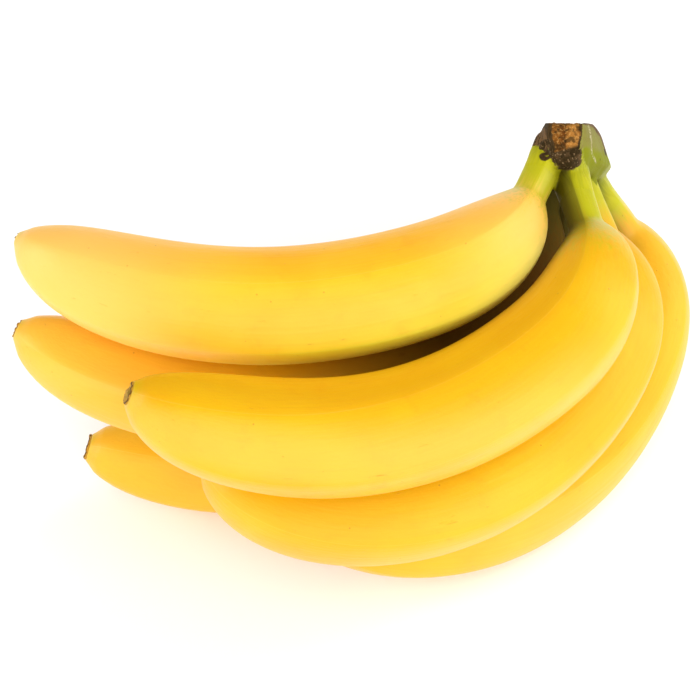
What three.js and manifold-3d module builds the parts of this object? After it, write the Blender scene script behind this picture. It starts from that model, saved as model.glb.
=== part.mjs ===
// A bunch of bananas lying on its side: six fruits in two rows of three, all growing from one cut crown.
// Millimetres and degrees, +Z up, resting on the plane z = 0, with the origin under the middle of the bunch.
//
// The bunch is laid out in the crown's own frame: X across the crown, Y up through its cut top, and Z along
// the row from the lowest pair of fruits to the highest. The crown frame is then leaned back by CROWN_LEAN.
import * as THREE from "three";
import { ConvexGeometry } from "three/addons/geometries/ConvexGeometry.js";
import { mergeVertices } from "three/addons/utils/BufferGeometryUtils.js";
import Module from "manifold-3d";

const wasm = await Module();
wasm.setup();

// Where the middle of the crown sits, and how far its frame leans back.
const CROWN_AT = new THREE.Vector3(65, 56.5, 86.2);
const CROWN_LEAN = 36;

// Every fruit: its stalk (pedicel), the shoulder where it fills out, and its tapered end.
const STALK_RADIUS = 5.6;
const ROOT_FLARE = 1.0;
const ROOT_FLARE_REACH = 6;
const SHOULDER_REACH = 17;
const SHOULDER_POWER = 1.1;
const TAPER_REACH = 15;
const TAPER_POWER = 0.9;
const RIDGES = 5;
const RIDGE_RELIEF = 0.036; // share of the radius by which the ridges stand out
const RIDGE_FADE = 9; // the relief fades over this length at both ends

// How a fruit bends: at its neck, steadily along its body, and a little more near its tip.
const NECK_SPAN = 56;
const BODY_FROM = 0.1;
const BODY_POWER = 1.3;
const TIP_FROM = 0.74;

// The stalks are part of the crown as far as SPLIT, and part of their fruit from there on.
const STALK_SUNK = 3;
const SPLIT = 13;
const CUT_GAP = 0.3;

// The dry remains of the flower on each fruit's end: its length as a share of the end's radius, and its
// outline as shares of the radius and of that length.
const BLOSSOM_LENGTH = 0.6;
const BLOSSOM_SIDES = 12;
const BLOSSOM_OUTLINE = [[0, 0], [0.93, 0], [1.08, 0.3], [1.04, 0.75], [0.8, 1], [0.5, 0.82], [0, 0.74]];

// Mesh fineness.
const SIDES = 20;
const RINGS = 28;
const RING_CROWDING = 0.5;
const STEP = 1;

const TABLE_SIZE = 600;

// root: where the stalk starts, in the crown's frame. azimuth and rise: the way it heads, with rise towards
// the high end of the row. roll turns the plane that the fruit bends in, and drift bends it out of that plane.
// fills: where the shoulder starts. neckAt: the middle of the neck's bend. nose: how far the tapered end is
// set towards the inner side of the bend, as a share of what it has narrowed by. end: the radius at the tip.
// turn: where the first ridge lies.
const FRUITS = [
  { root: [-6, 1, 14], azimuth: -117.5, rise: 32, roll: 16, neck: 32, body: 67, tip: -4, drift: -8,
    length: 197.5, radius: 18.2, fills: 20, neckAt: 43, nose: 0.25, end: 1.6, turn: 41 },
  { root: [-0.5, -6.5, 15.5], azimuth: -76, rise: 38.5, roll: 18, neck: 44, body: 76, tip: -6, drift: -47,
    length: 209.5, radius: 18.4, fills: 23, neckAt: 49, nose: 0.35, end: 3.5, turn: 41 },
  { root: [-4.5, -1, -1.5], azimuth: -102, rise: 8.5, roll: -22, neck: 39, body: 73.5, tip: -6, drift: 22,
    length: 216, radius: 17.2, fills: 16, neckAt: 50, nose: 0.15, end: 2.9, turn: 29 },
  { root: [2, -5.5, -1], azimuth: -65.5, rise: 8.5, roll: -26, neck: 37, body: 113.5, tip: -2, drift: 15,
    length: 214, radius: 17.7, fills: 22, neckAt: 41, nose: 0.4, end: 3.7, turn: 3 },
  { root: [-0.5, -3, -15.5], azimuth: -93.5, rise: -16, roll: -35, neck: 39, body: 71, tip: -5, drift: 33,
    length: 212.5, radius: 16.7, fills: 16, neckAt: 49, nose: 0, end: 4, turn: 1 },
  { root: [8, -7.5, -16], azimuth: -45.5, rise: -34.5, roll: -38, neck: 65, body: 115, tip: 17, drift: 39,
    length: 221, radius: 17.9, fills: 23, neckAt: 39, nose: 0.15, end: 3.5, turn: 51 },
];

// The crown's block, as slices along the row: how far along, the middle across, half the width at the cut
// top and at the foot, and the heights of the top and the foot. Below the cut top it spreads by a shoulder,
// and its foot is drawn in underneath.
const SHOULDER_DROP = 4;
const SHOULDER_SPREAD = 0.45;
const FOOT_RISE = 0.3;
const FOOT_DRAWN_IN = 0.7;
const CROWN_SLICES = [
  { along: 23.5, middle: -2.3, top: 5.4, foot: 3.9, high: 9.1, low: -4.4 },
  { along: 18, middle: -1.8, top: 6.4, foot: 7.4, high: 9.8, low: -5.4 },
  { along: 8, middle: -0.6, top: 7.0, foot: 11.0, high: 10.4, low: -6.2 },
  { along: -2, middle: 1.2, top: 7.0, foot: 12.0, high: 11.0, low: -6.6 },
  { along: -13, middle: 3.2, top: 6.2, foot: 12.0, high: 11.8, low: -7.0 },
  { along: -20, middle: 4.5, top: 4.8, foot: 10.2, high: 11.8, low: -6.0 },
  { along: -24, middle: 5.0, top: 3.2, foot: 7.4, high: 9.4, low: -3.5 },
];

const crownFrame = new THREE.Matrix4()
  .makeRotationX(THREE.MathUtils.degToRad(CROWN_LEAN))
  .setPosition(CROWN_AT);

const smooth = THREE.MathUtils.smoothstep;
const radians = THREE.MathUtils.degToRad;

// The plane that a fruit bends in: its first heading, the side it bends towards and the plane's normal.
function bendPlane(fruit) {
  const azimuth = radians(fruit.azimuth);
  const rise = radians(fruit.rise);
  const heading = new THREE.Vector3(
    Math.cos(azimuth) * Math.cos(rise),
    Math.sin(azimuth) * Math.cos(rise),
    Math.sin(rise),
  );
  const level = new THREE.Vector3().crossVectors(heading, new THREE.Vector3(0, 0, 1)).normalize();
  const inward = level.applyAxisAngle(heading, radians(fruit.roll));
  const normal = new THREE.Vector3().crossVectors(heading, inward);
  return { heading, inward, normal };
}

// How far the fruit has turned in its bend plane, and out of it, at a distance along its length.
function turnAt(fruit, distance) {
  const share = distance / fruit.length;
  const neck = smooth(distance, fruit.neckAt - NECK_SPAN / 2, fruit.neckAt + NECK_SPAN / 2);
  const body = THREE.MathUtils.clamp((share - BODY_FROM) / (1 - BODY_FROM), 0, 1) ** BODY_POWER;
  const tip = smooth(share, TIP_FROM, 1);
  return {
    bend: radians(fruit.neck * neck + fruit.body * body + fruit.tip * tip),
    drift: radians(fruit.drift * smooth(share, 0, 1)),
  };
}

// The fruit's radius at a distance along its length, without its ridges, and what it has narrowed by there.
function radiusAt(fruit, distance) {
  const stalk = STALK_RADIUS + ROOT_FLARE * Math.exp(-Math.max(distance, 0) / ROOT_FLARE_REACH);
  const past = Math.max(0, distance - fruit.fills) / SHOULDER_REACH;
  const filled = 1 - Math.exp(-(past ** SHOULDER_POWER));
  const full = stalk + (fruit.radius - STALK_RADIUS) * filled;
  const taper = Math.exp(-(((fruit.length - distance) / TAPER_REACH) ** TAPER_POWER));
  const narrowed = full * (1 - fruit.end / fruit.radius) * taper;
  return { radius: full - narrowed, narrowed };
}

// Walks along a fruit in small steps and gives back a function that says where the middle of its section is
// at any distance, with the section's own axes, all in the bunch's frame.
function midline(fruit) {
  const { heading, inward, normal } = bendPlane(fruit);
  const directionAt = (distance) => {
    const { bend, drift } = turnAt(fruit, distance);
    return new THREE.Vector3()
      .addScaledVector(heading, Math.cos(bend) * Math.cos(drift))
      .addScaledVector(inward, Math.sin(bend) * Math.cos(drift))
      .addScaledVector(normal, Math.sin(drift));
  };
  const steps = Math.ceil(fruit.length / STEP);
  const points = [new THREE.Vector3(...fruit.root)];
  for (let i = 0; i < steps; i++) {
    points.push(points[i].clone().addScaledVector(directionAt((i + 0.5) * STEP), STEP));
  }
  return (distance) => {
    const i = THREE.MathUtils.clamp(Math.floor(distance / STEP), 0, steps - 1);
    const along = directionAt(distance);
    const { bend } = turnAt(fruit, distance);
    const side = new THREE.Vector3()
      .addScaledVector(heading, -Math.sin(bend))
      .addScaledVector(inward, Math.cos(bend));
    const up = new THREE.Vector3().crossVectors(along, side);
    const at = points[i].clone().lerp(points[i + 1], distance / STEP - i);
    at.addScaledVector(side, fruit.nose * radiusAt(fruit, distance).narrowed);
    return {
      at: at.applyMatrix4(crownFrame),
      along: along.transformDirection(crownFrame),
      side: side.transformDirection(crownFrame),
      up: up.transformDirection(crownFrame),
    };
  };
}

// One ring round a fruit: a five-sided section with rounded ridges and slightly crowned faces between them.
function ringAt(fruit, walk, distance, sides) {
  const { at, side, up } = walk(distance);
  const { radius } = radiusAt(fruit, distance);
  const fade = 1 - Math.exp(-(fruit.length - distance) / RIDGE_FADE);
  const relief = RIDGE_RELIEF * fade;
  const ring = [];
  for (let i = 0; i < sides; i++) {
    const angle = (2 * Math.PI * i) / sides;
    const reach = radius * (1 + relief * Math.cos(RIDGES * angle));
    const slide = -radius * relief * RIDGES * Math.sin(RIDGES * angle);
    const turned = angle + radians(fruit.turn);
    const x = reach * Math.cos(turned) - slide * Math.sin(turned);
    const y = reach * Math.sin(turned) + slide * Math.cos(turned);
    ring.push(at.clone().addScaledVector(side, x).addScaledVector(up, y));
  }
  return ring;
}

// Skins a list of rings into one closed solid with flat ends.
function skin(rings) {
  const sides = rings[0].length;
  const positions = [];
  const triangle = (a, b, c) => positions.push(...a.toArray(), ...b.toArray(), ...c.toArray());
  for (let r = 0; r + 1 < rings.length; r++) {
    for (let i = 0; i < sides; i++) {
      const j = (i + 1) % sides;
      triangle(rings[r][i], rings[r][j], rings[r + 1][j]);
      triangle(rings[r][i], rings[r + 1][j], rings[r + 1][i]);
    }
  }
  const first = rings[0];
  const last = rings[rings.length - 1];
  for (let i = 1; i + 1 < sides; i++) {
    triangle(first[0], first[i + 1], first[i]);
    triangle(last[0], last[i], last[i + 1]);
  }
  const geometry = new THREE.BufferGeometry();
  geometry.setAttribute("position", new THREE.Float32BufferAttribute(positions, 3));
  return geometry;
}

// Distances of the rings along a stretch, closer together at its two ends.
function ringDistances(from, to, count) {
  const distances = [];
  for (let i = 0; i <= count; i++) {
    const share = i / count;
    const crowded = share - (RING_CROWDING / (2 * Math.PI)) * Math.sin(2 * Math.PI * share);
    distances.push(from + (to - from) * crowded);
  }
  return distances;
}

function toSolid(geometry) {
  const bare = geometry.clone();
  bare.deleteAttribute("normal");
  bare.deleteAttribute("uv");
  const merged = mergeVertices(bare, 1e-3);
  const vertProperties = new Float32Array(merged.attributes.position.array);
  const triVerts = new Uint32Array(merged.index.array);
  return new wasm.Manifold(new wasm.Mesh({ numProp: 3, vertProperties, triVerts }));
}

function toGeometry(solid) {
  const mesh = solid.getMesh();
  const geometry = new THREE.BufferGeometry();
  geometry.setAttribute("position", new THREE.BufferAttribute(mesh.vertProperties, 3));
  geometry.setIndex(new THREE.BufferAttribute(mesh.triVerts, 1));
  geometry.computeVertexNormals();
  return geometry;
}

// The table's space, which flattens the lowest fruits a little where they rest.
function tableSolid() {
  const slab = new THREE.BoxGeometry(TABLE_SIZE, TABLE_SIZE, TABLE_SIZE).translate(0, 0, -TABLE_SIZE / 2);
  return toSolid(slab);
}

function fruitMesh(fruit, name, table) {
  const walk = midline(fruit);
  const last = fruit.length - BLOSSOM_LENGTH * fruit.end - CUT_GAP;
  const distances = ringDistances(SPLIT + CUT_GAP, last, RINGS);
  const solid = toSolid(skin(distances.map((d) => ringAt(fruit, walk, d, SIDES))));
  const material = new THREE.MeshStandardMaterial({ color: 0xffcf33, roughness: 0.5, metalness: 0 });
  const mesh = new THREE.Mesh(toGeometry(solid.subtract(table)), material);
  mesh.name = name;
  return mesh;
}

// The flower's remains: a short dished stub with a rim, turned about the fruit's last heading.
function blossomMesh(fruit, name) {
  const length = BLOSSOM_LENGTH * fruit.end;
  const profile = BLOSSOM_OUTLINE.map(
    ([across, back]) => new THREE.Vector2(across * fruit.end, back * length),
  );
  const material = new THREE.MeshStandardMaterial({ color: 0x4a3420, roughness: 0.9, metalness: 0 });
  const mesh = new THREE.Mesh(new THREE.LatheGeometry(profile, BLOSSOM_SIDES), material);
  const { at, along } = midline(fruit)(fruit.length - length);
  mesh.position.copy(at);
  mesh.quaternion.setFromUnitVectors(new THREE.Vector3(0, 1, 0), along);
  mesh.name = name;
  return mesh;
}

// The crown: its cut block joined with the roots of all the stalks.
function crownMesh(name) {
  const corners = CROWN_SLICES.flatMap(({ along, middle, top, foot, high, low }) =>
    [-1, 1].flatMap((hand) => [
      new THREE.Vector3(middle + hand * top, high, along),
      new THREE.Vector3(middle + hand * (top + (foot - top) * SHOULDER_SPREAD), high - SHOULDER_DROP, along),
      new THREE.Vector3(middle + hand * foot, low * FOOT_RISE, along),
      new THREE.Vector3(middle + hand * foot * FOOT_DRAWN_IN, low, along),
    ]),
  );
  let solid = toSolid(new ConvexGeometry(corners).applyMatrix4(crownFrame));
  for (const fruit of FRUITS) {
    const walk = midline(fruit);
    const distances = [-STALK_SUNK, 0, SPLIT / 3, (2 * SPLIT) / 3, SPLIT];
    solid = solid.add(toSolid(skin(distances.map((d) => ringAt(fruit, walk, d, SIDES)))));
  }
  const material = new THREE.MeshStandardMaterial({ color: 0x8f9440, roughness: 0.75, metalness: 0 });
  const mesh = new THREE.Mesh(toGeometry(solid), material);
  mesh.name = name;
  return mesh;
}

const bunch = new THREE.Group();
const table = tableSolid();
bunch.add(crownMesh("crown"));
FRUITS.forEach((fruit, i) => {
  bunch.add(fruitMesh(fruit, `banana_${i + 1}`, table));
  bunch.add(blossomMesh(fruit, `blossom_end_${i + 1}`));
});

export default bunch;
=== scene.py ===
"""The looks of a bunch of six ripe bananas: peel, cut crown and dried blossom ends, on a pale floor.

Shapes are worked out in millimetres and brought to metres when a piece is finished.
"""

import math

import bmesh
import bpy
from mathutils import Matrix, Vector, bvhtree, kdtree, noise


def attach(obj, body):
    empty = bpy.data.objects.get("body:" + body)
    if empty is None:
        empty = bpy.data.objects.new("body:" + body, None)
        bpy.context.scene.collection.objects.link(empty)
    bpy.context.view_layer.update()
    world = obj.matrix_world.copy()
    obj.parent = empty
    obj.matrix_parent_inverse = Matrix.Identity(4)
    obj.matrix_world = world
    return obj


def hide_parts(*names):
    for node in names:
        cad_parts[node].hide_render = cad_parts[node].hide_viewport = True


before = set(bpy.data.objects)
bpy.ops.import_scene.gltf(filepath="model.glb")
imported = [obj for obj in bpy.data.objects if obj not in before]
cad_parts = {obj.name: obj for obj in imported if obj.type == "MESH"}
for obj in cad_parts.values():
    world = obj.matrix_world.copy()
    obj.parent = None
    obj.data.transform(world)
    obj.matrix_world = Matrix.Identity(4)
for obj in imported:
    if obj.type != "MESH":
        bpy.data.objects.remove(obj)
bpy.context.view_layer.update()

MM = 0.001

# Where the middle of the crown sits, and how far its frame leans back.
CROWN_AT = Vector((65, 56.5, 86.2))
CROWN_LEAN = 36
CROWN_FRAME = Matrix.Translation(CROWN_AT) @ Matrix.Rotation(math.radians(CROWN_LEAN), 4, "X")
CROWN_TURN = CROWN_FRAME.to_3x3()

# Every fruit: its stalk, the shoulder where it fills out, and its tapered end.
STALK_RADIUS = 5.6
ROOT_FLARE = 1.0
ROOT_FLARE_REACH = 6
SHOULDER_REACH = 17
SHOULDER_POWER = 1.1
TAPER_REACH = 15
TAPER_POWER = 0.9
RIDGES = 5
RIDGE_RELIEF = 0.036
NECK_RELIEF = 0.0045  # how much sharper the ridges are round the neck
NECK_RELIEF_AT = 30
NECK_RELIEF_REACH = 22
RIDGE_FADE = 9

# How a fruit bends: at its neck, steadily along its body, and a little more near its tip.
NECK_SPAN = 56
BODY_FROM = 0.1
BODY_POWER = 1.3
TIP_FROM = 0.74

# The fine skin of a fruit.
SKIN_SIDES = 64
SKIN_STEP = 1.7
SKIN_FROM = 5.0
SKIN_IN = 0.2
SEAM_AT = 9.0  # where the skin comes out of the crown's stub
SEAM_SLOPE = 0.018
TIP_LENGTH = 5.0
TIP_STEP = 0.45
RIM_BACK = 0.3
RIM_BACK_SHARE = 0.25  # of the end's radius, on top of RIM_BACK
RIM_PINCH = 0.13
DENT_SIZE = 26.0
DENT_DEPTH = 0.2
DENT_SHIFT = 9

FRUITS = [
    dict(root=(-6, 1, 14), azimuth=-117.5, rise=32, roll=16, neck=32, body=67, tip=-4, drift=-8,
         length=197.5, radius=18.2, fills=20, neck_at=43, nose=0.25, end=1.6, turn=41),
    dict(root=(-0.5, -6.5, 15.5), azimuth=-76, rise=38.5, roll=18, neck=44, body=76, tip=-6, drift=-47,
         length=209.5, radius=18.4, fills=23, neck_at=49, nose=0.35, end=3.5, turn=41),
    dict(root=(-4.5, -1, -1.5), azimuth=-102, rise=8.5, roll=-22, neck=39, body=73.5, tip=-6, drift=22,
         length=216, radius=17.2, fills=16, neck_at=50, nose=0.15, end=2.9, turn=29),
    dict(root=(2, -5.5, -1), azimuth=-65.5, rise=8.5, roll=-26, neck=37, body=113.5, tip=-2, drift=15,
         length=214, radius=17.7, fills=22, neck_at=41, nose=0.4, end=3.7, turn=3),
    dict(root=(-0.5, -3, -15.5), azimuth=-93.5, rise=-16, roll=-35, neck=39, body=71, tip=-5, drift=33,
         length=212.5, radius=16.7, fills=16, neck_at=49, nose=0, end=4, turn=1),
    dict(root=(8, -7.5, -16), azimuth=-45.5, rise=-34.5, roll=-38, neck=65, body=115, tip=17, drift=39,
         length=221, radius=17.9, fills=23, neck_at=39, nose=0.15, end=3.5, turn=51),
]

# The crown's block as slices along the row: half the width at its cut top and at its foot.
SHOULDER_DROP = 4
SHOULDER_SPREAD = 0.45
FOOT_RISE = 0.3
FOOT_DRAWN_IN = 0.7
CROWN_SLICES = [
    dict(along=23.5, middle=-2.3, top=5.4, foot=3.9, high=9.1, low=-4.4),
    dict(along=18, middle=-1.8, top=6.4, foot=7.4, high=9.8, low=-5.4),
    dict(along=8, middle=-0.6, top=7.0, foot=11.0, high=10.4, low=-6.2),
    dict(along=-2, middle=1.2, top=7.0, foot=12.0, high=11.0, low=-6.6),
    dict(along=-13, middle=3.2, top=6.2, foot=12.0, high=11.8, low=-7.0),
    dict(along=-20, middle=4.5, top=4.8, foot=10.2, high=11.8, low=-6.0),
    dict(along=-24, middle=5.0, top=3.2, foot=7.4, high=9.4, low=-3.5),
]
CROWN_VOXEL = 0.5

# How much sooner each fruit's stalk turns from green to yellow, and how much paler its peel is.
GREEN_ENDS = [1.1, 0.8, 1.0, 1.5, 1.0, 1.7]
PALENESS = [1.0, 0.0, 0.3, 0.0, 0.15, 0.1]
# How strong each peel's painted highlight is on its front-facing side, in a creamy colour, and how squarely
# that side faces the front.
FRONT_HIGHLIGHT = [0.2, 0.3, 0.45, 0.08, 0.1, 0.2]
SHOWN_RISE = (0.35, 0.75)
SHOWN_FALL = (0.85, 1)
PALE_ENDS = (0.08, 0.42)  # shares of the length from the middle over which a pale peel turns creamy
FIBRE_SHIFT = 40  # keeps the fibres of one fruit unlike the next one's


def smoothstep(value, low, high):
    share = min(max((value - low) / (high - low), 0), 1)
    return share * share * (3 - 2 * share)


def fading(value, low, high):
    return 1 - smoothstep(value, low, high)


class Fruit:
    """One fruit's midline, walked in small steps, with its radius and section."""

    STEP = 1.0

    def __init__(self, number, shape):
        self.__dict__.update(shape)
        self.number = number
        azimuth = math.radians(self.azimuth)
        rise = math.radians(self.rise)
        self.heading = Vector((
            math.cos(azimuth) * math.cos(rise),
            math.sin(azimuth) * math.cos(rise),
            math.sin(rise),
        ))
        level = self.heading.cross(Vector((0, 0, 1))).normalized()
        self.inward = Matrix.Rotation(math.radians(self.roll), 3, self.heading) @ level
        self.normal = self.heading.cross(self.inward)
        self.points = [Vector(self.root)]
        self.steps = math.ceil(self.length / self.STEP)
        for i in range(self.steps):
            self.points.append(self.points[-1] + self.direction((i + 0.5) * self.STEP) * self.STEP)

    def turned(self, distance):
        share = distance / self.length
        neck = smoothstep(distance, self.neck_at - NECK_SPAN / 2, self.neck_at + NECK_SPAN / 2)
        body = min(max((share - BODY_FROM) / (1 - BODY_FROM), 0), 1) ** BODY_POWER
        tip = smoothstep(share, TIP_FROM, 1)
        bend = math.radians(self.neck * neck + self.body * body + self.tip * tip)
        return bend, math.radians(self.drift * smoothstep(share, 0, 1))

    def direction(self, distance):
        bend, drift = self.turned(distance)
        level = self.heading * math.cos(bend) + self.inward * math.sin(bend)
        return level * math.cos(drift) + self.normal * math.sin(drift)

    def section(self, distance):
        """The section's middle and its two axes, and the way along, in the bunch's frame."""
        i = min(max(math.floor(distance / self.STEP), 0), self.steps - 1)
        along = self.direction(distance)
        bend, _ = self.turned(distance)
        side = self.inward * math.cos(bend) - self.heading * math.sin(bend)
        up = along.cross(side)
        at = self.points[i].lerp(self.points[i + 1], distance / self.STEP - i)
        at = at + side * (self.nose * (self.full(distance) - self.reach(distance)))
        return CROWN_FRAME @ at, CROWN_TURN @ side, CROWN_TURN @ up, CROWN_TURN @ along

    def full(self, distance):
        """The radius without ridges, if the fruit didn't taper at its end."""
        stalk = STALK_RADIUS + ROOT_FLARE * math.exp(-max(distance, 0) / ROOT_FLARE_REACH)
        past = max(0, distance - self.fills) / SHOULDER_REACH
        return stalk + (self.radius - STALK_RADIUS) * (1 - math.exp(-(past ** SHOULDER_POWER)))

    def reach(self, distance):
        """The radius without ridges."""
        taper = math.exp(-((max(self.length - distance, 0) / TAPER_REACH) ** TAPER_POWER))
        return self.full(distance) * (1 - (1 - self.end / self.radius) * taper)

    def place(self, distance, angle, spare=0.0):
        """The skin's point at a distance along the fruit and an angle round it."""
        at, side, up, _ = self.section(distance)
        radius = self.reach(distance) - spare
        neck = math.exp(-(((distance - NECK_RELIEF_AT) / NECK_RELIEF_REACH) ** 2))
        fade = 1 - math.exp(-(self.length - distance) / RIDGE_FADE)
        relief = (RIDGE_RELIEF + NECK_RELIEF * neck) * fade
        out = radius * (1 + relief * math.cos(RIDGES * angle))
        slide = -radius * relief * RIDGES * math.sin(RIDGES * angle)
        turned = angle + math.radians(self.turn)
        x = out * math.cos(turned) - slide * math.sin(turned)
        y = out * math.sin(turned) + slide * math.cos(turned)
        return at + side * x + up * y


def tube(sides, stations, place, closed=True):
    """A circle of edges, extruded once for each station, whose points place(station, angle) puts down.

    Each point keeps its station's number in the layer "station" and its angle in the layer "angle".
    """
    bm = bmesh.new()
    bmesh.ops.create_circle(bm, cap_ends=False, segments=sides, radius=1.0)
    angle = bm.verts.layers.float.new("angle")
    station = bm.verts.layers.int.new("station")
    for vert in bm.verts:
        vert[angle] = math.atan2(vert.co.y, vert.co.x)
    ring = list(bm.verts)
    rim = list(bm.edges)
    first = rim
    for number, where in enumerate(stations):
        if number:
            grown = bmesh.ops.extrude_edge_only(bm, edges=rim)["geom"]
            ring = [g for g in grown if isinstance(g, bmesh.types.BMVert)]
            rim = [g for g in grown if isinstance(g, bmesh.types.BMEdge) and g.is_boundary]
        for vert in ring:
            vert[station] = number
            vert.co = place(where, vert[angle])
    if closed:
        bmesh.ops.holes_fill(bm, edges=first + rim, sides=0)
    bmesh.ops.recalc_face_normals(bm, faces=bm.faces)
    return bm


def finish_piece(bm, name, material, replaced):
    """Makes the mesh a piece of the bunch, in metres, with smooth shading."""
    bmesh.ops.scale(bm, vec=(MM, MM, MM), verts=bm.verts)
    bmesh.ops.recalc_face_normals(bm, faces=bm.faces)
    mesh = bpy.data.meshes.new(name)
    bm.to_mesh(mesh)
    bm.free()
    mesh.shade_smooth()
    mesh.materials.append(material)
    piece = bpy.data.objects.new(name, mesh)
    bpy.context.scene.collection.objects.link(piece)
    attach(piece, "root")
    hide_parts(replaced)
    return piece


# ---------------------------------------------------------------- materials


def paint(red, green, blue):
    """A colour given in the usual 0 to 255 display values."""
    def linear(value):
        share = value / 255
        return share / 12.92 if share <= 0.04045 else ((share + 0.055) / 1.055) ** 2.4
    return (linear(red), linear(green), linear(blue), 1.0)


# The sockets of a Mix node that hold colours.
MIX_SHARE = 0
MIX_FIRST = 6
MIX_SECOND = 7
MIX_RESULT = 2


class Finish:
    """A material whose nodes are added one line at a time."""

    def __init__(self, name, **constants):
        self.material = bpy.data.materials.new(name)
        self.material.use_nodes = True
        self.nodes = self.material.node_tree.nodes
        self.links = self.material.node_tree.links
        self.shader = next(n for n in self.nodes if n.type == "BSDF_PRINCIPLED")
        for socket, value in constants.items():
            self.shader.inputs[socket.replace("_", " ")].default_value = value

    def put(self, socket, value):
        if isinstance(value, bpy.types.NodeSocket):
            self.links.new(value, socket)
        else:
            socket.default_value = value

    def node(self, kind, inputs, **settings):
        made = self.nodes.new(kind)
        for name, value in settings.items():
            setattr(made, name, value)
        for name, value in inputs.items():
            self.put(made.inputs[name], value)
        return made

    def math(self, operation, *values):
        return self.node("ShaderNodeMath", dict(enumerate(values)), operation=operation).outputs[0]

    def times(self, value, factor):
        return self.math("MULTIPLY", value, factor)

    def shaken(self, value, pattern, amount):
        """The value with a pattern laid over it, which moves it up to half the amount either way."""
        return self.math("MULTIPLY_ADD", self.math("SUBTRACT", pattern, 0.5), amount, value)

    def mix(self, share, first, second, blend="MIX"):
        inputs = {MIX_SHARE: share, MIX_FIRST: first, MIX_SECOND: second}
        return self.node("ShaderNodeMix", inputs, data_type="RGBA", blend_type=blend).outputs[MIX_RESULT]

    def span(self, value, low, high, to_low=0.0, to_high=1.0):
        """The value brought from one range to the other, with soft ends, and held inside it."""
        inputs = {"Value": value, "From Min": low, "From Max": high, "To Min": to_low, "To Max": to_high}
        return self.node("ShaderNodeMapRange", inputs, interpolation_type="SMOOTHSTEP").outputs[0]

    def attribute(self, name, output="Fac"):
        return self.node("ShaderNodeAttribute", {}, attribute_name=name).outputs[output]

    def place(self):
        return self.node("ShaderNodeTexCoord", {}).outputs["Object"]

    def stretched(self, vector, scale):
        return self.node("ShaderNodeMapping", {"Vector": vector, "Scale": scale}).outputs[0]

    def noise(self, vector, scale, detail=2.0, roughness=0.5, distortion=0.0):
        inputs = {"Vector": vector, "Scale": scale, "Detail": detail}
        inputs |= {"Roughness": roughness, "Distortion": distortion}
        return self.node("ShaderNodeTexNoise", inputs).outputs[0]

    def cells(self, vector, scale):
        return self.node("ShaderNodeTexVoronoi", {"Vector": vector, "Scale": scale})

    def bump(self, height, distance, strength=1.0, under=None):
        inputs = {"Height": height, "Distance": distance, "Strength": strength}
        if under is not None:
            inputs["Normal"] = under
        return self.node("ShaderNodeBump", inputs).outputs[0]

    def wear(self, colour, roughness, normal):
        self.put(self.shader.inputs["Base Color"], colour)
        self.put(self.shader.inputs["Roughness"], roughness)
        self.put(self.shader.inputs["Normal"], normal)
        return self.material


PALE = paint(226, 172, 6)
GOLD = paint(224, 165, 4)
AMBER = paint(218, 144, 3)
LEMON = (1.26, 1.2, 10.0, 1.0)  # what the palest fruit's colour is multiplied by
# The cream of the pale fruits' ends, and the colour of the painted highlight on the front-facing side.
CREAM_AND_HIGHLIGHT = paint(250, 192, 92)
STALK_GREEN = paint(120, 128, 4)
YOUNG_GREEN = paint(184, 178, 18)
SPECK = paint(160, 100, 24)
# The peel's paler ridges, partly their own colour and partly a painted highlight along them.
PALE_RIDGE_AND_HIGHLIGHT = paint(232, 202, 90)
SCRATCH = paint(200, 136, 20)
DRY = paint(112, 84, 54)
DRY_PALE = paint(150, 122, 88)
CHAR = paint(48, 34, 12)
PULP = paint(128, 78, 24)
PULP_BRIGHT = paint(172, 116, 50)
PALE_FIBRE = paint(214, 164, 92)
RUST = paint(100, 52, 8)
SCAR_BROWN = paint(92, 62, 28)
SCAR_TAN = paint(176, 128, 62)
SCAR_GOLD = paint(206, 154, 44)
SCAR_FRESH = paint(244, 196, 58)
SCAR_RUST = paint(132, 82, 20)
DEEP_GREEN = paint(118, 122, 2)
GREY_GREEN = paint(124, 120, 52)
GREY_BROWN = paint(112, 98, 44)
DRY_LINE = paint(182, 172, 136)
SHADED = (0.13, 0.1, 0.03, 1.0)  # painted shade: what the peel's colour is multiplied by in the deepest crevices
LIFTED = (1.0, 1.65, 2.2, 1.0)  # painted light: and on the top fruit's underside, which the fruits below light up
PLAIN = (1.0, 1.0, 1.0, 1.0)

PEEL_SHEEN = dict(IOR=1.5, Specular_IOR_Level=0.5, Specular_Tint=(1.0, 0.93, 0.6, 1.0),
                  Subsurface_Weight=0.08, Subsurface_Scale=0.001, Subsurface_Radius=(4.0, 2.0, 0.6))


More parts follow.
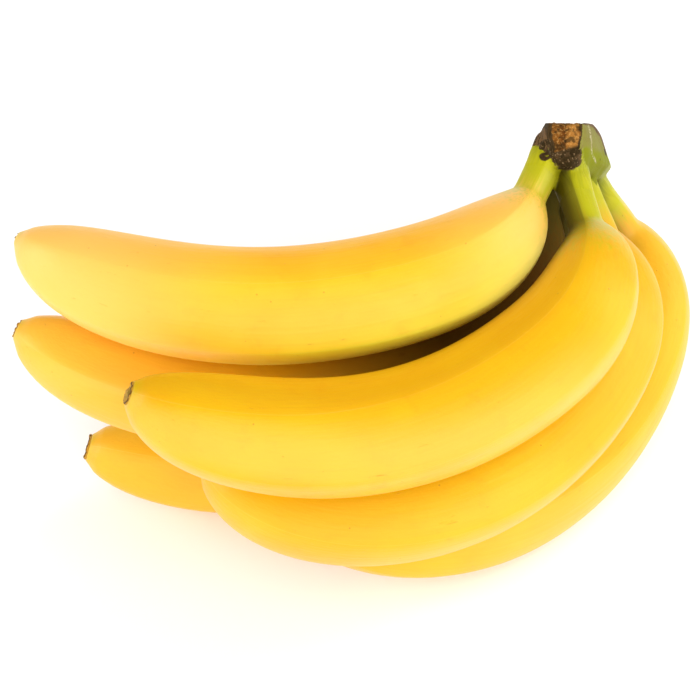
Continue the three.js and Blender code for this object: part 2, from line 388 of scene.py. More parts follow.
def peel_colour(finish):
    """The peel's colour, green at the stalk, then yellow, with its mottling, fibres, specks and scuffs."""
    place = finish.place()
    grown = finish.attribute("grown", "Vector")
    along = finish.attribute("along")
    left = finish.attribute("left")
    ridge = finish.attribute("ridge")
    cloud = finish.noise(place, 34.0, 3.0, 0.5)
    fibre = finish.noise(finish.stretched(grown, (1.3, 1.3, 0.035)), 1.0, 3.0, 0.55)
    body = finish.mix(finish.span(cloud, 0.38, 0.66), GOLD, PALE)
    body = finish.mix(finish.times(finish.span(fibre, 0.45, 0.75), 0.16), body, AMBER)
    blotch = finish.noise(place, 110.0, 4.0, 0.6)
    body = finish.mix(finish.times(finish.span(blotch, 0.56, 0.78), 0.3), body, AMBER)
    body = finish.mix(finish.attribute("pale"), body, finish.mix(1.0, body, LEMON, "MULTIPLY"))
    # Creamier near the ends of the pale fruits, with a painted highlight on the front-facing side.
    body = finish.mix(finish.attribute("cream_and_highlight_share"), body, CREAM_AND_HIGHLIGHT)

    # The ridge crests are painted paler: partly the peel's own colour, partly a painted highlight.
    crest = finish.times(finish.span(ridge, 0.95, 1.0), finish.span(fibre, 0.25, 0.6, 0.3, 1.0))
    body = finish.mix(finish.times(crest, 0.4), body, PALE_RIDGE_AND_HIGHLIGHT)

    # Green runs out of the stalk unevenly, along the fibres.
    ragged = finish.shaken(along, fibre, 26.0)
    ragged = finish.shaken(ragged, cloud, 18.0)
    body = finish.mix(finish.span(ragged, 38.0, 14.0), body, YOUNG_GREEN)
    body = finish.mix(finish.span(ragged, 12.0, -6.0, 0.0, 0.8), body, STALK_GREEN)
    tip = finish.shaken(left, cloud, 6.0)
    body = finish.mix(finish.span(tip, 4.0, 0.6, 0.0, 0.35), body, YOUNG_GREEN)

    dots = finish.cells(place, 260.0)
    chance = finish.node("ShaderNodeSeparateColor", {"Color": dots.outputs["Color"]}).outputs[0]
    picked = finish.math("GREATER_THAN", chance, 0.83)
    dot = finish.times(finish.span(dots.outputs["Distance"], 0.1, 0.03), picked)
    body = finish.mix(finish.times(dot, 0.45), body, SPECK)

    scuff = finish.noise(finish.stretched(grown, (0.5, 0.5, 0.06)), 2.2, 4.0, 0.62, 0.6)
    scuff = finish.times(finish.span(scuff, 0.66, 0.72), finish.span(blotch, 0.45, 0.6))
    body = finish.mix(finish.times(scuff, 0.55), body, SCRATCH)

    # Painted shade: the peel's colour is darkened where the fruits lie close together; painted light
    # brightens the top fruit's underside.
    painted_shading = finish.mix(finish.attribute("lit"), SHADED, PLAIN)
    painted_shading = finish.mix(finish.attribute("lifted"), painted_shading, LIFTED)
    return finish.mix(1.0, body, painted_shading, "MULTIPLY"), fibre, blotch, dot, scuff


def peel_material():
    finish = Finish("ripe_peel", **PEEL_SHEEN)
    body, fibre, blotch, dot, scuff = peel_colour(finish)
    pores = finish.noise(finish.place(), 900.0, 3.0, 0.6)
    skin = finish.bump(fibre, 0.0005, 0.22)
    skin = finish.bump(blotch, 0.0004, 0.3, skin)
    skin = finish.bump(pores, 0.00012, 0.35, skin)
    skin = finish.bump(finish.math("ADD", dot, scuff), 0.0002, 0.5, skin)
    rough = finish.span(fibre, 0.3, 0.7, 0.34, 0.42)
    rough = finish.math("MULTIPLY_ADD", scuff, 0.12, rough)
    rough = finish.math("ADD", rough, finish.span(finish.attribute("lit"), 0.9, 0.2, 0.0, 0.55))
    return finish.wear(body, rough, skin)


def crown_material():
    """Peel on the stubs, green and grey flanks, dry brown skin near the cuts, and pulp on the cuts."""
    finish = Finish("crown_skin", **dict(PEEL_SHEEN, Specular_IOR_Level=0.3))
    place = finish.place()
    body, fibre, blotch, _, _ = peel_colour(finish)
    coarse = finish.noise(place, 420.0, 4.0, 0.6)
    fine = finish.noise(place, 1500.0, 3.0, 0.6)

    def ragged(name, amount):
        return finish.shaken(finish.attribute(name), coarse, amount)

    flank = finish.shaken(finish.attribute("flank"), fibre, 1.2)
    body = finish.mix(finish.span(flank, 0.3, 0.7), body, DEEP_GREEN)
    grey = finish.span(ragged("grey", 1.2), 0.25, 0.75, 0.0, 0.9)
    mottled = finish.mix(finish.span(blotch, 0.42, 0.66, 0.0, 0.7), GREY_GREEN, GREY_BROWN)
    body = finish.mix(grey, body, mottled)
    body = finish.mix(finish.times(grey, finish.span(coarse, 0.55, 0.68, 0.0, 0.5)), body, DRY)
    crack = finish.times(finish.span(ragged("crack", 1.0), 0.45, 0.1), finish.span(fine, 0.42, 0.56))
    body = finish.mix(finish.times(crack, 0.8), body, DRY_LINE)
    local = finish.attribute("local", "Vector")
    streak = finish.noise(finish.stretched(local, (1.6, 0.35, 1.6)), 1.0, 4.0, 0.6)
    brown = finish.mix(finish.span(streak, 0.36, 0.56), CHAR, DRY)
    bark = finish.span(ragged("bark", 3.0), -0.2, 0.3)
    body = finish.mix(bark, body, brown)
    body = finish.mix(finish.span(ragged("scar", 2.0), 0.1, -0.3), body, CHAR)

    # The pulp has a rust streak down its middle and dark patches, and its left side a charred margin.
    across = finish.node("ShaderNodeSeparateXYZ", {"Vector": local}).outputs[0]
    hand = finish.span(across, -5.4, -7.0)
    rim = finish.math("MULTIPLY_ADD", hand, -0.4, ragged("rim", 2.0))
    edge = finish.math("MULTIPLY_ADD", hand, 1.5, ragged("rim", 1.2))
    middle = finish.math("ABSOLUTE", finish.math("ADD", across, 3.0))
    patches = finish.noise(local, 0.24, 3.0, 0.6)
    pulp = finish.mix(finish.span(finish.shaken(across, patches, 9.0), -3.0, 0.5), PULP, PULP_BRIGHT)
    streak_width = finish.shaken(middle, coarse, 3.0)
    pulp = finish.mix(finish.span(streak_width, 1.7, 0.3, 0.0, 0.85), pulp, RUST)
    pulp = finish.mix(finish.span(patches, 0.44, 0.34, 0.0, 0.7), pulp, RUST)
    pulp = finish.mix(finish.times(finish.span(fine, 0.5, 0.64), 0.5), pulp, PALE_FIBRE)
    pulp = finish.mix(finish.times(finish.span(coarse, 0.56, 0.42), 0.75), pulp, CHAR)
    spots = finish.cells(place, 480.0).outputs["Distance"]
    vessel = finish.times(finish.span(spots, 0.3, 0.14), finish.span(blotch, 0.5, 0.58))
    pulp = finish.mix(finish.times(vessel, 0.8), pulp, CHAR)
    char = finish.mix(finish.span(coarse, 0.46, 0.64), CHAR, finish.mix(0.6, DRY, CHAR))
    char = finish.mix(finish.times(finish.span(fine, 0.58, 0.68), 0.75), char, DRY_PALE)
    body = finish.mix(finish.span(edge, -0.35, 0.0), body, finish.mix(0.75, brown, CHAR))
    body = finish.mix(finish.span(rim, 0.6, 1.2), body, pulp)
    charred = finish.span(ragged("char", 0.7), -0.1, 0.1)
    body = finish.mix(charred, body, char)

    worn = finish.math("MAXIMUM", finish.span(rim, -0.35, 0.2), bark)
    worn = finish.math("MAXIMUM", worn, charred)
    dull = finish.math("MAXIMUM", grey, finish.span(flank, 0.3, 0.7))
    rough = finish.math("MULTIPLY_ADD", worn, 0.42, 0.46)
    rough = finish.math("MAXIMUM", rough, finish.times(dull, 0.8))
    skin = finish.bump(coarse, 0.0008, worn)
    skin = finish.bump(fine, 0.0003, finish.math("MULTIPLY_ADD", worn, 0.7, 0.15), skin)
    skin = finish.bump(fibre, 0.0005, 0.3, skin)
    return finish.wear(body, rough, skin)


def blossom_material():
    finish = Finish("dried_blossom", IOR=1.45)
    place = finish.place()
    coarse = finish.noise(place, 700.0, 4.0, 0.65)
    fine = finish.noise(place, 2400.0, 3.0, 0.6)
    edge = finish.shaken(finish.attribute("edge"), coarse, 0.3)
    fresh = finish.attribute("fresh")
    body = finish.mix(finish.span(coarse, 0.35, 0.65), SCAR_BROWN, SCAR_TAN)
    body = finish.mix(finish.span(edge, 0.62, 0.8), body, CHAR)
    body = finish.mix(fresh, body, SCAR_FRESH)
    brink = finish.mix(fresh, CHAR, SCAR_RUST)
    body = finish.mix(finish.span(edge, 0.44, 0.36), body, brink)
    body = finish.mix(finish.span(edge, 0.34, 0.26, 0.0, 0.85), body, SCAR_GOLD)
    skin = finish.bump(coarse, 0.0006, 0.9)
    skin = finish.bump(fine, 0.0002, 0.6, skin)
    return finish.wear(body, finish.span(coarse, 0.3, 0.7, 0.7, 0.95), skin)


# ---------------------------------------------------------------- crevices, and the shade and light painted from them

OPEN_RAYS = 22
OPEN_REACH = 45.0
OPEN_START = 0.7
OPEN_SIDES = 24
OPEN_STATIONS = 100
OPEN_SOFTENINGS = 3

# Painted shade in the crevices. How open the bunch is where the painted shade is darkest and where it
# stops. The second value rises to 1 at the stalks, over GLOOM_NECK. Then, for each fruit, how dark its
# painted crevice shade is at its stalk, and how far along the fruit that has faded out.
GLOOM_FROM = 0.57
GLOOM_TO = 0.85
GLOOM_NECK = (24, 42)
GLOOM = [(0.35, 30), (0.88, 50), (1.0, 150), (0.3, 40), (1.0, 110), (0.95, 95)]

# Painted shade: this fruit's crevice shade goes on along its body, and the left-facing side of its stalk is
# painted darker, as it looks into a shaded gap.
SIDE_FRUIT = 2
SIDE_BODY_DARK = 0.45
SIDE_BODY_REACH = 200
SIDE_DARK = 0.55
SIDE_FACING = (-0.4, 0.35)
SIDE_REACH = (24, 42)

# Painted light: the top fruit's underside is painted lighter where the fruits below light it up.
LIFTED_FRUIT = 1
LIFTED_FROM = 0.5
LIFTED_TO = 0.95
LIFTED_OUT = (105, 150)


def crown_block():
    """The crown's plain block, in the bunch's frame."""
    bm = bmesh.new()
    corners = [bm.verts.new(corner) for corner in crown_corners()]
    hull = bmesh.ops.convex_hull(bm, input=corners)
    spare = {g for g in hull["geom_interior"] + hull["geom_unused"] if isinstance(g, bmesh.types.BMVert)}
    bmesh.ops.delete(bm, geom=list(spare), context="VERTS")
    bmesh.ops.transform(bm, matrix=CROWN_FRAME, verts=bm.verts)
    return bm


def cream_and_highlight_at(number, distance, normal):
    """How creamy the peel is painted: most near both ends of the pale fruits, and, as a painted highlight,
    on the front-facing side of all.
    """
    ends = smoothstep(abs(distance / FRUITS[number - 1]["length"] - 0.5), *PALE_ENDS)
    shown = smoothstep(-normal.y, *SHOWN_RISE) * fading(-normal.y, *SHOWN_FALL)
    return max(PALENESS[number - 1] * ends, FRONT_HIGHLIGHT[number - 1] * shown)


class Crevices:
    """Says how open the bunch is in front of its skin: 1 out in the open, 0 deep between fruits."""

    def __init__(self, fruits):
        bm = crown_block()
        for fruit in fruits:
            stations = [fruit.length * i / OPEN_STATIONS for i in range(OPEN_STATIONS + 1)]
            add_mesh(bm, tube(OPEN_SIDES, stations, fruit.place))
        self.tree = bvhtree.BVHTree.FromBMesh(bm)
        bm.free()
        # Ways spread evenly over a half sphere, more of them near its middle.
        self.ways = []
        for i in range(OPEN_RAYS):
            up = math.sqrt(1 - (i + 0.5) / OPEN_RAYS)
            turn = i * math.pi * (3 - math.sqrt(5))
            out = math.sqrt(1 - up * up)
            self.ways.append(Vector((out * math.cos(turn), out * math.sin(turn), up)))

    def open_at(self, point, normal):
        turn = normal.to_track_quat("Z", "Y").to_matrix()
        start = point + normal * OPEN_START
        seen = 0
        for way in self.ways:
            distance = self.tree.ray_cast(start, turn @ way, OPEN_REACH)[3]
            seen += 1 if distance is None else distance / OPEN_REACH
        return seen / OPEN_RAYS

    def mark(self, bm):
        """Puts each point's share of full light, a painted shade, in the layer "lit"; needs the layers
        "owner" and "down".

        The layer "lifted" holds painted light where the top fruit's underside is lit by the ones below it.
        The peel's painted cream and front highlight are marked too.
        """
        lit = bm.verts.layers.float.new("lit")
        lifted = bm.verts.layers.float.new("lifted")
        cream_and_highlight_share = bm.verts.layers.float.new("cream_and_highlight_share")
        owner = bm.verts.layers.int["owner"]
        down = bm.verts.layers.float["down"]
        bm.normal_update()
        for vert in bm.verts:
            vert[lit] = self.open_at(vert.co, vert.normal)
            # How creamy the peel is painted, with a painted highlight on the front-facing side.
            vert[cream_and_highlight_share] = cream_and_highlight_at(vert[owner], vert[down], vert.normal)
        for _ in range(OPEN_SOFTENINGS):
            near = [[edge.other_vert(vert)[lit] for edge in vert.link_edges] for vert in bm.verts]
            for vert, values in zip(bm.verts, near):
                vert[lit] = (vert[lit] + sum(values)) / (1 + len(values))
        for vert in bm.verts:
            # Painted light on the top fruit's underside.
            if vert[owner] == LIFTED_FRUIT:
                out = smoothstep(vert[down], *GLOOM_NECK) * fading(vert[down], *LIFTED_OUT)
                vert[lifted] = out * fading(vert[lit], LIFTED_FROM, LIFTED_TO)
            # Painted shade in the crevices, darkest near the stalks.
            dark, reach = GLOOM[vert[owner] - 1]
            dark *= fading(vert[down], reach / 2, reach)
            if vert[owner] == SIDE_FRUIT:
                body = SIDE_BODY_DARK * fading(vert[down], SIDE_BODY_REACH / 2, SIDE_BODY_REACH)
                dark = max(dark, body)
            top = GLOOM_TO + (1 - GLOOM_TO) * fading(vert[down], *GLOOM_NECK)
            vert[lit] = 1 - dark * fading(vert[lit], GLOOM_FROM, top)
            # Painted shade on the left-facing side of this fruit's stalk.
            if vert[owner] == SIDE_FRUIT:
                side = smoothstep(-vert.normal.x, *SIDE_FACING) * fading(vert[down], *SIDE_REACH)
                vert[lit] *= 1 - SIDE_DARK * side


# ---------------------------------------------------------------- fruits


def grown_place(fruit, distance, angle):
    """Where the point would be if the fruit were straight, so that fibres run along it."""
    reach = fruit.reach(distance)
    shift = FIBRE_SHIFT * fruit.number
    return Vector((reach * math.cos(angle) + shift, reach * math.sin(angle), distance))


def skin_stations(fruit):
    tip_from = fruit.length - TIP_LENGTH
    count = round((tip_from - SKIN_FROM) / SKIN_STEP)
    body = [SKIN_FROM + (tip_from - SKIN_FROM) * i / count for i in range(count)]
    span = TIP_LENGTH - RIM_BACK - RIM_BACK_SHARE * fruit.end
    count = round(span / TIP_STEP)
    return body + [tip_from + span * i / count for i in range(count + 1)]


def make_fruit(fruit, material, crevices):
    stations = skin_stations(fruit)
    rim = stations[-1]

    def place(distance, angle):
        at, _, _, _ = fruit.section(distance)
        pinch = 1 - RIM_PINCH * smoothstep(distance, fruit.length - TIP_LENGTH, rim)
        sunk = SEAM_SLOPE * max(SEAM_AT - distance, 0)
        point = fruit.place(distance, angle, SKIN_IN + sunk)
        out = (point - at) * pinch
        dent = noise.noise((at + out) / DENT_SIZE + Vector((0, 0, DENT_SHIFT * fruit.number)))
        point = at + out * (1 - DENT_DEPTH / fruit.radius * (0.5 + 0.5 * dent))
        point.z = max(point.z, 0)
        return point

    bm = tube(SKIN_SIDES, stations, place)
    angle = bm.verts.layers.float["angle"]
    station = bm.verts.layers.int["station"]
    grown = bm.verts.layers.float_vector.new("grown")
    along = bm.verts.layers.float.new("along")
    left = bm.verts.layers.float.new("left")
    ridge = bm.verts.layers.float.new("ridge")
    pale = bm.verts.layers.float.new("pale")
    down = bm.verts.layers.float.new("down")
    owner = bm.verts.layers.int.new("owner")
    for vert in bm.verts:
        distance = stations[vert[station]]
        vert[down] = distance
        vert[owner] = fruit.number
        vert[pale] = PALENESS[fruit.number - 1]
        vert[grown] = grown_place(fruit, distance, vert[angle])
        vert[along] = distance * GREEN_ENDS[fruit.number - 1]
        vert[left] = fruit.length - distance
        vert[ridge] = math.cos(RIDGES * vert[angle])
    crevices.mark(bm)
    return finish_piece(bm, f"peel_{fruit.number}", material, f"banana_{fruit.number}")


# ---------------------------------------------------------------- blossom ends

BLOSSOM_SIDES = 48
BLOSSOM_PROFILE = [(0.8, -2.2), (0.97, -1.3), (1.02, -0.9), (1.0, -0.45), (0.93, -0.12), (0.8, -0.2),
                   (0.62, -0.55), (0.4, -0.75), (0.22, -0.55), (0.12, -0.35)]
BLOSSOM_RAGGED = 0.12
WAVES = 2.2  # how closely the rim's waves and tears follow each other, and how far they lift it
TEARS = 6
WAVE_LIFT = 0.5
TEAR_LIFT = 0.35
BLOSSOM_SUNK = 0.35
BLOSSOM_HIGHEST = -0.2
BLOSSOM_FRESH = [0.0, 0.3, 0.85, 0.4, 0.2, 0.3]  # how little each scar has dried


def make_blossom(fruit, material):
    """The dry scar at the fruit's end: a ragged rim round a dished middle with a stub of the flower."""
    at, side, up, along = fruit.section(fruit.length)

    def place(point, angle):
        across, back = point
        wave = noise.noise(Vector((math.cos(angle), math.sin(angle), fruit.number)) * WAVES)
        ragged = noise.noise(Vector((math.cos(angle), math.sin(angle), fruit.number + 0.5)) * TEARS)
        reach = fruit.end * across * (1 + BLOSSOM_RAGGED * wave)
        lift = back + WAVE_LIFT * wave + TEAR_LIFT * ragged * across - BLOSSOM_SUNK
        lift = min(lift, BLOSSOM_HIGHEST)
        spot = at + (side * math.cos(angle) + up * math.sin(angle)) * reach + along * lift
        spot.z = max(spot.z, 0)
        return spot

    bm = tube(BLOSSOM_SIDES, BLOSSOM_PROFILE, place)
    station = bm.verts.layers.int["station"]
    edge = bm.verts.layers.float.new("edge")
    fresh = bm.verts.layers.float.new("fresh")
    for vert in bm.verts:
        vert[edge] = vert[station] / len(BLOSSOM_PROFILE)
        vert[fresh] = BLOSSOM_FRESH[fruit.number - 1]
    name = f"blossom_{fruit.number}"
    return finish_piece(bm, name, material, f"blossom_end_{fruit.number}")


# ---------------------------------------------------------------- crown

STUB_STATIONS = [-3, 0, 3, 6, 9, 12, 13.5]
STUB_SIDES = 40
STUB_TOP = 14
STALK_STOPS = range(-6, 19)
STUB_OUT = 0.15  # makes up for what smoothing takes off
SMOOTHINGS = 14
LUMP_SMOOTHINGS = 2
SNAP_FROM = 3.0
SNAP_FULL = 8.0
FILLET_FROM = 0.3
FILLET_FULL = 1.2
LUMP_SIZE = 5.0
LUMP_DEPTH = 0.3

# The cuts: how far out each lies, how squarely it faces that way, and how rough it is.
CUT_TOP = 8.0
CUT_FRONT = 22.2
CUT_FRONT_FOOT = -1
CUT_REAR = -23.0
CUT_REAR_FOOT = -3.8
CUT_FACING = 0.8
CUT_FRONT_FACING = 0.75
CUT_ROUGH = 0.55
CUT_SUNK = 0.45
CUT_RIM = 1.5
CUT_GRAIN = 2.2
CUT_SWELL = 6

# Rough brown lumps on the crown, as (middle, half sizes) in its own frame: the torn lobe under the
# front cut, and a dried flap beside it.
LUMPS = [
    ((-1.6, -2.2, 22.2), (3.5, 2.4, 2.1)),
    ((-4.0, -1.3, 21.8), (1.8, 1.9, 1.9)),
    ((0.7, -0.2, 22.0), (1.7, 2.4, 1.9)),
    ((-9.2, 1.0, 19.4), (0.9, 1.9, 1.0)),
    ((-8.6, 2.7, 19.8), (1.0, 1.3, 1.0)),
]
LUMP_ROUGH = 0.35
LUMP_EDGE = 0.6

# The dry crack down the right flank, across and up in the crown's frame, and dark scars as (middle,
# radius). The first three scars are one gash.
CRACK = [(5.4, 9.0), (6.0, 7.2), (6.4, 1.8), (6.7, 0.4), (8.2, -2.3)]
CRACK_REAR = -4
CRACK_FACING = 0.3
CRACK_FAR = 9.0
SCARS = [
    ((12.0, 2.2, -3), 1.3),
    ((12.6, 2.4, -5.5), 1.4),
    ((13.1, 2.4, -8), 1.4),
    ((-12.4, 2.6, 4), 1.6),
    ((9.4, -1.0, 9), 0.5),
    ((2.0, 4.5, -24), 1.4),
]

# The dry brown skin: how low it comes on the left, where a flap hangs from it, on the rear face and
# along the top.
BARK_LEFT = -4
BARK_FOOT = 3.0
BARK_LEAN = 0.25
BARK_LEAN_AT = -9
BARK_REAR_FOOT = 2.0
BARK_REAR_FACING = (0.3, 0.8)
BARK_REAR_DROP = 2
BARK_TOP = 8.7
BARK_TOP_RISE = 0.6
BARK_TOP_ACROSS = (3, 6)
FLAP_AT = -8.6
FLAP_WIDTH = 1.2
FLAP_DROP = 3.2

# Its wedge down the right flank: how far across it starts, where its tip is along the row and up, and
# how its edges rise from there.
WEDGE_FROM = 7.0
WEDGE_AT = -11.5
WEDGE_FOOT = 1.6
WEDGE_FRONT_RISE = 0.58
WEDGE_REAR_RISE = 0.27

# Where the flank turns from green to grey, up and across.
GREY_UP = (-1.0, 4.5)
GREY_ACROSS = (-4, 2)

# The charred lumps: how far past their skins the char goes, and where it starts on the front cut.
LUMP_CHAR = 0.3
LOBE_TOP = 1.5
LOBE_LEAN = 0.3
LOBE_SOFT = 5

# The charred margin left of the front cut: across at its top, how it leans, and its ends.
MARGIN_AT = -6.8
MARGIN_LEAN = 0.42
MARGIN_HALF = 2.0
MARGIN_DEPTH = 1.2
MARGIN_TOP = 4.5
MARGIN_FOOT = -3.0
MARGIN_REAR = 9

# The deep green on the right flank: its lowest point, across and up, and how its edges rise.
FLANK_FOOT = (8.7, -9.1)
FLANK_SLOPE = 1.3
FLANK_ACROSS = (1, 5)
FLANK_EDGE = (-1.2, 1.8)


def add_mesh(bm, other):
    """Adds one bmesh to another."""
    mesh = bpy.data.meshes.new("part")
    other.to_mesh(mesh)
    other.free()
    bm.from_mesh(mesh)
    bpy.data.meshes.remove(mesh)


def crown_corners():
    for s in CROWN_SLICES:
        spread = s["top"] + (s["foot"] - s["top"]) * SHOULDER_SPREAD
        for hand in (-1, 1):
            yield s["middle"] + hand * s["top"], s["high"], s["along"]
            yield s["middle"] + hand * spread, s["high"] - SHOULDER_DROP, s["along"]
            yield s["middle"] + hand * s["foot"], s["low"] * FOOT_RISE, s["along"]
            yield s["middle"] + hand * s["foot"] * FOOT_DRAWN_IN, s["low"], s["along"]


def lump(middle, sizes):
    """One ellipsoid, dented all over."""
    bm = bmesh.new()
    bmesh.ops.create_icosphere(bm, subdivisions=4, radius=1.0)
    for vert in bm.verts:
        out = vert.co.copy()
        dent = noise.fractal(out * 1.3 + Vector(middle), 0.9, 2.0, 3)
        place = Vector(middle) + Vector(o * s for o, s in zip(out, sizes))
        vert.co = CROWN_FRAME @ (place + out * dent * LUMP_ROUGH)
    return bm


def fused(bm, voxel):
    """All the closed shapes in bm as one skin of small squares."""
    mesh = bpy.data.meshes.new("fused")
    bm.to_mesh(mesh)
    bm.free()
    thing = bpy.data.objects.new("fused", mesh)
    bpy.context.scene.collection.objects.link(thing)
    remesh = thing.modifiers.new("fuse", "REMESH")
    remesh.mode = "VOXEL"
    remesh.voxel_size = voxel
    graph = bpy.context.evaluated_depsgraph_get()
    made = bmesh.new()
    made.from_object(thing, graph)
    bpy.data.objects.remove(thing)
    bpy.data.meshes.remove(mesh)
    return made


def make_crown(fruits, material, crevices):
    bm = crown_block()
    for fruit in fruits:
        def place(distance, angle):
            return fruit.place(distance, angle, SKIN_IN - STUB_OUT)
        add_mesh(bm, tube(STUB_SIDES, STUB_STATIONS, place))
    for middle, sizes in LUMPS:
        add_mesh(bm, lump(middle, sizes))
    bm = fused(bm, CROWN_VOXEL)
    return finish_crown(bm, fruits, material, crevices)


def tree_of(points):
    """A search tree over the points."""
    tree = kdtree.KDTree(len(points))
    for i, point in enumerate(points):
        tree.insert(point, i)
    tree.balance()
    return tree


def lumpiness(at):
    """How far a point of the crown's frame is inside the nearest lump's skin, in shares of its size."""
    reaches = []
    for middle, sizes in LUMPS:
        off = [(a - m) / s for a, m, s in zip(at, middle, sizes)]
        reaches.append(1 - math.sqrt(sum(o * o for o in off)))
    return max(reaches)


def bark_at(at, normal):
    """How far inside the dry brown skin a point lies, in millimetres up from the skin's lower edge."""
    if at.x < BARK_LEFT:
        flap = FLAP_DROP * math.exp(-(((at.x - FLAP_AT) / FLAP_WIDTH) ** 2))
        return at.y - BARK_FOOT - BARK_LEAN * (at.x - BARK_LEAN_AT) + flap
    top = at.y - BARK_TOP - BARK_TOP_RISE * smoothstep(at.x, *BARK_TOP_ACROSS)
    if at.x > WEDGE_FROM:
        front = WEDGE_FRONT_RISE * max(at.z - WEDGE_AT, 0)
        back = WEDGE_REAR_RISE * max(WEDGE_AT - at.z, 0)
        top = max(top, at.y - WEDGE_FOOT - front - back)
    facing = smoothstep(-normal.z, *BARK_REAR_FACING)
    rear = (at.y - BARK_REAR_FOOT) * facing - BARK_REAR_DROP * (1 - facing)
    return max(top, rear)


def skin_char(at):
    """How far inside a charred patch a point of the skin lies: below 0 where it isn't charred."""
    lumps = lumpiness(at) + LUMP_CHAR
    if at.z <= MARGIN_REAR or not MARGIN_FOOT < at.y < MARGIN_TOP:
        return max(lumps, -1)
    off = abs(at.x - MARGIN_AT - MARGIN_LEAN * (MARGIN_TOP - at.y))
    return max(lumps, MARGIN_DEPTH * (1 - off / MARGIN_HALF))


def cut_char(at):
    """The same for a point of a cut."""
    top = LOBE_TOP + LOBE_LEAN * (at.x + 1)
    return (top - at.y) / LOBE_SOFT if at.z > CUT_FRONT - 1 else -1


def crack_distance(at, normal):
    """How far a point of the shown side is from the dry crack."""
    near = CRACK_FAR
    if at.z < CRACK_REAR or normal.z + normal.x < CRACK_FACING:
        return near
    spot = Vector((at.x, at.y))
    for (ax, ay), (bx, by) in zip(CRACK, CRACK[1:]):
        start = Vector((ax, ay))
        way = Vector((bx, by)) - start
        share = min(max((spot - start).dot(way) / way.length_squared, 0), 1)
        near = min(near, (spot - start - way * share).length)
    return near


def smooth(bm, verts, times):
    axes = dict(use_axis_x=True, use_axis_y=True, use_axis_z=True)
    for _ in range(times):
        bmesh.ops.smooth_vert(bm, verts=verts, factor=0.5, **axes)


def finish_crown(bm, fruits, material, crevices):
    """Softens the skin, roughens the cuts, and marks each point with what lies there."""
    names = ("rim", "bark", "flank", "grey", "char", "crack", "scar", "along", "left", "pale", "down")
    layers = {name: bm.verts.layers.float.new(name) for name in names}
    owner = bm.verts.layers.int.new("owner")
    grown = bm.verts.layers.float_vector.new("grown")
    local = bm.verts.layers.float_vector.new("local")
    inverse = CROWN_FRAME.inverted()
    turn = inverse.to_3x3()
    bm.normal_update()

    def is_cut(vert):
        at = inverse @ vert.co
        normal = turn @ vert.normal
        top = normal.y > CUT_FACING and at.y > CUT_TOP
        front = normal.z > CUT_FRONT_FACING and at.z > CUT_FRONT and at.y > CUT_FRONT_FOOT
        rear = normal.z < -CUT_FACING and at.z < CUT_REAR and at.y > CUT_REAR_FOOT
        return top or front or rear

    cut = [v for v in bm.verts if is_cut(v)]
    cut_set = set(cut)
    skin = [v for v in bm.verts if v not in cut_set]
    soft = [v for v in skin if lumpiness(inverse @ v.co) < -LUMP_EDGE]
    smooth(bm, soft, SMOOTHINGS)
    smooth(bm, [v for v in skin if lumpiness(inverse @ v.co) >= -LUMP_EDGE], LUMP_SMOOTHINGS)
    bm.normal_update()

    cut_tree = tree_of([v.co for v in cut])
    skin_tree = tree_of([v.co for v in skin])
    stops = [(fruit, distance) for fruit in fruits for distance in STALK_STOPS]
    stalks = tree_of([fruit.section(distance)[0] for fruit, distance in stops])

    moves = {}
    for vert in bm.verts:
        is_skin = vert not in cut_set
        rim = -cut_tree.find(vert.co)[2] if is_skin else skin_tree.find(vert.co)[2]
        vert[layers["rim"]] = rim
        at = inverse @ vert.co
        normal = turn @ vert.normal
        vert[local] = at
        vert[layers["bark"]] = bark_at(at, normal)
        vert[layers["grey"]] = smoothstep(at.y, *GREY_UP) * smoothstep(at.x, *GREY_ACROSS)
        vert[layers["char"]] = skin_char(at) if is_skin else cut_char(at)
        vert[layers["crack"]] = crack_distance(at, normal)
        vert[layers["scar"]] = min((at - Vector(middle)).length - radius for middle, radius in SCARS)
        fruit, distance = stops[stalks.find(vert.co)[1]]
        middle, side, up, way = fruit.section(distance)
        off = vert.co - middle
        down = distance + off.dot(way)
        vert[layers["along"]] = down * GREEN_ENDS[fruit.number - 1]
        vert[layers["down"]] = down
        vert[layers["pale"]] = PALENESS[fruit.number - 1]
        vert[owner] = fruit.number
        inside = at.y - FLANK_FOOT[1] - FLANK_SLOPE * abs(at.x - FLANK_FOOT[0])
        vert[layers["flank"]] = smoothstep(at.x, *FLANK_ACROSS) * smoothstep(inside, *FLANK_EDGE)
        vert[layers["left"]] = fruit.length
        vert[grown] = Vector((off.dot(side) + FIBRE_SHIFT * fruit.number, off.dot(up), down))
        if not is_skin:
            rough = noise.fractal(vert.co / CUT_GRAIN, 0.8, 2.0, 4) + 0.5 * noise.noise(vert.co / CUT_SWELL)
            moves[vert] = vert.normal * (rough * CUT_ROUGH - CUT_SUNK) * min(rim, CUT_RIM) / CUT_RIM
            continue
        # Lumps on the block, and the fruit's own surface on the stubs.
        turned = math.atan2(off.dot(up), off.dot(side)) - math.radians(fruit.turn)
        wanted = fruit.place(min(max(down, 0), STUB_TOP), turned, SKIN_IN + SEAM_SLOPE * (down - SEAM_AT))
        excess = (off - way * off.dot(way)).length - fruit.reach(max(down, 0))
        fillet = 1 - smoothstep(abs(excess), FILLET_FROM, FILLET_FULL)
        snap = fillet * smoothstep(down, SNAP_FROM, SNAP_FULL)
        bump = noise.noise(vert.co / LUMP_SIZE) * LUMP_DEPTH * smoothstep(-rim, 0, 2) * (1 - snap)
        moves[vert] = (wanted - vert.co) * snap + vert.normal * bump
    for vert, move in moves.items():
        vert.co += move
        vert.co.z = max(vert.co.z, 0)
    crevices.mark(bm)
    return finish_piece(bm, "crown_block", material, "crown")


# ---------------------------------------------------------------- the bunch

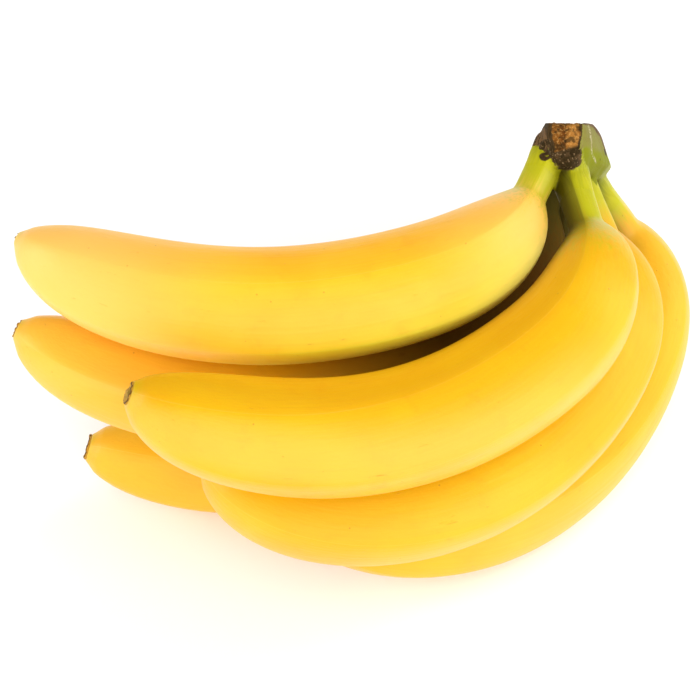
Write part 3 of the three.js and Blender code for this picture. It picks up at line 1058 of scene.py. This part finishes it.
fruits = [Fruit(number, shape) for number, shape in enumerate(FRUITS, 1)]
crevices = Crevices(fruits)
peel = peel_material()
blossom = blossom_material()
for fruit in fruits:
    make_fruit(fruit, peel, crevices)
    make_blossom(fruit, blossom)
make_crown(fruits, crown_material(), crevices)


# ---------------------------------------------------------------- stage, light and camera


FLOOR_HALF = 4.0
FLOOR_GREY = 0.97
LAMP_SIZE = 0.9
LAMP_DISTANCE = 1.4
LAMP_AIM = Vector((0, 0, 0.06))
CAMERA_AT = Vector((-4.0, -530.7, 790.6))
CAMERA_AIM = Vector((-4.0, -1.7, 62.5))
CAMERA_LENS = 148.114
CAMERA_FILM = 36


def make_floor():
    bm = bmesh.new()
    bmesh.ops.create_grid(bm, x_segments=1, y_segments=1, size=FLOOR_HALF)
    mesh = bpy.data.meshes.new("floor")
    bm.to_mesh(mesh)
    bm.free()
    finish = Finish("pale_floor", Roughness=0.9)
    finish.shader.inputs["Base Color"].default_value = (FLOOR_GREY, FLOOR_GREY, FLOOR_GREY, 1)
    mesh.materials.append(finish.material)
    floor = bpy.data.objects.new("floor", mesh)
    bpy.context.scene.collection.objects.link(floor)


def make_light(name, azimuth, elevation, brightness, mirrored=True):
    """A square soft light, with its brightness in watts per square metre and steradian.

    A light that isn't mirrored brightens the peel and leaves no glint on it.
    """
    data = bpy.data.lights.new(name, "AREA")
    data.shape = "SQUARE"
    data.size = LAMP_SIZE
    data.energy = brightness * math.pi * LAMP_SIZE * LAMP_SIZE
    lamp = bpy.data.objects.new(name, data)
    bpy.context.scene.collection.objects.link(lamp)
    a, e = math.radians(azimuth), math.radians(elevation)
    back = Vector((math.sin(a) * math.cos(e), -math.cos(a) * math.cos(e), math.sin(e)))
    lamp.location = LAMP_AIM + back * LAMP_DISTANCE
    lamp.rotation_mode = "QUATERNION"
    lamp.rotation_quaternion = (-back).to_track_quat("-Z", "Y")
    lamp.visible_glossy = mirrored


def make_world(strength):
    world = bpy.data.worlds.new("studio")
    world.use_nodes = True
    sky = world.node_tree.nodes["Background"]
    sky.inputs["Color"].default_value = (1, 1, 1, 1)
    sky.inputs["Strength"].default_value = strength
    world.cycles_visibility.glossy = False
    bpy.context.scene.world = world


def make_camera():
    data = bpy.data.cameras.new("camera")
    data.sensor_width = CAMERA_FILM
    data.lens = CAMERA_LENS
    camera = bpy.data.objects.new("camera", data)
    bpy.context.scene.collection.objects.link(camera)
    camera.location = CAMERA_AT * MM
    camera.rotation_mode = "QUATERNION"
    camera.rotation_quaternion = (CAMERA_AIM * MM - camera.location).to_track_quat("-Z", "Y")
    bpy.context.scene.camera = camera


make_floor()
make_light("left", -90, 18, 3.2)
make_light("front_left", -45, 20, 1.5)
make_light("front", 0, 20, 1.6)
make_light("front_right", 45, 20, 2.5)
make_light("right", 95, 20, 2.0)
make_light("rear_right", 120, 35, 3.6, mirrored=False)
make_light("high", 0, 55, 2.6, mirrored=False)
make_world(0.49)
make_camera()
bpy.context.scene.view_settings.view_transform = "Standard"
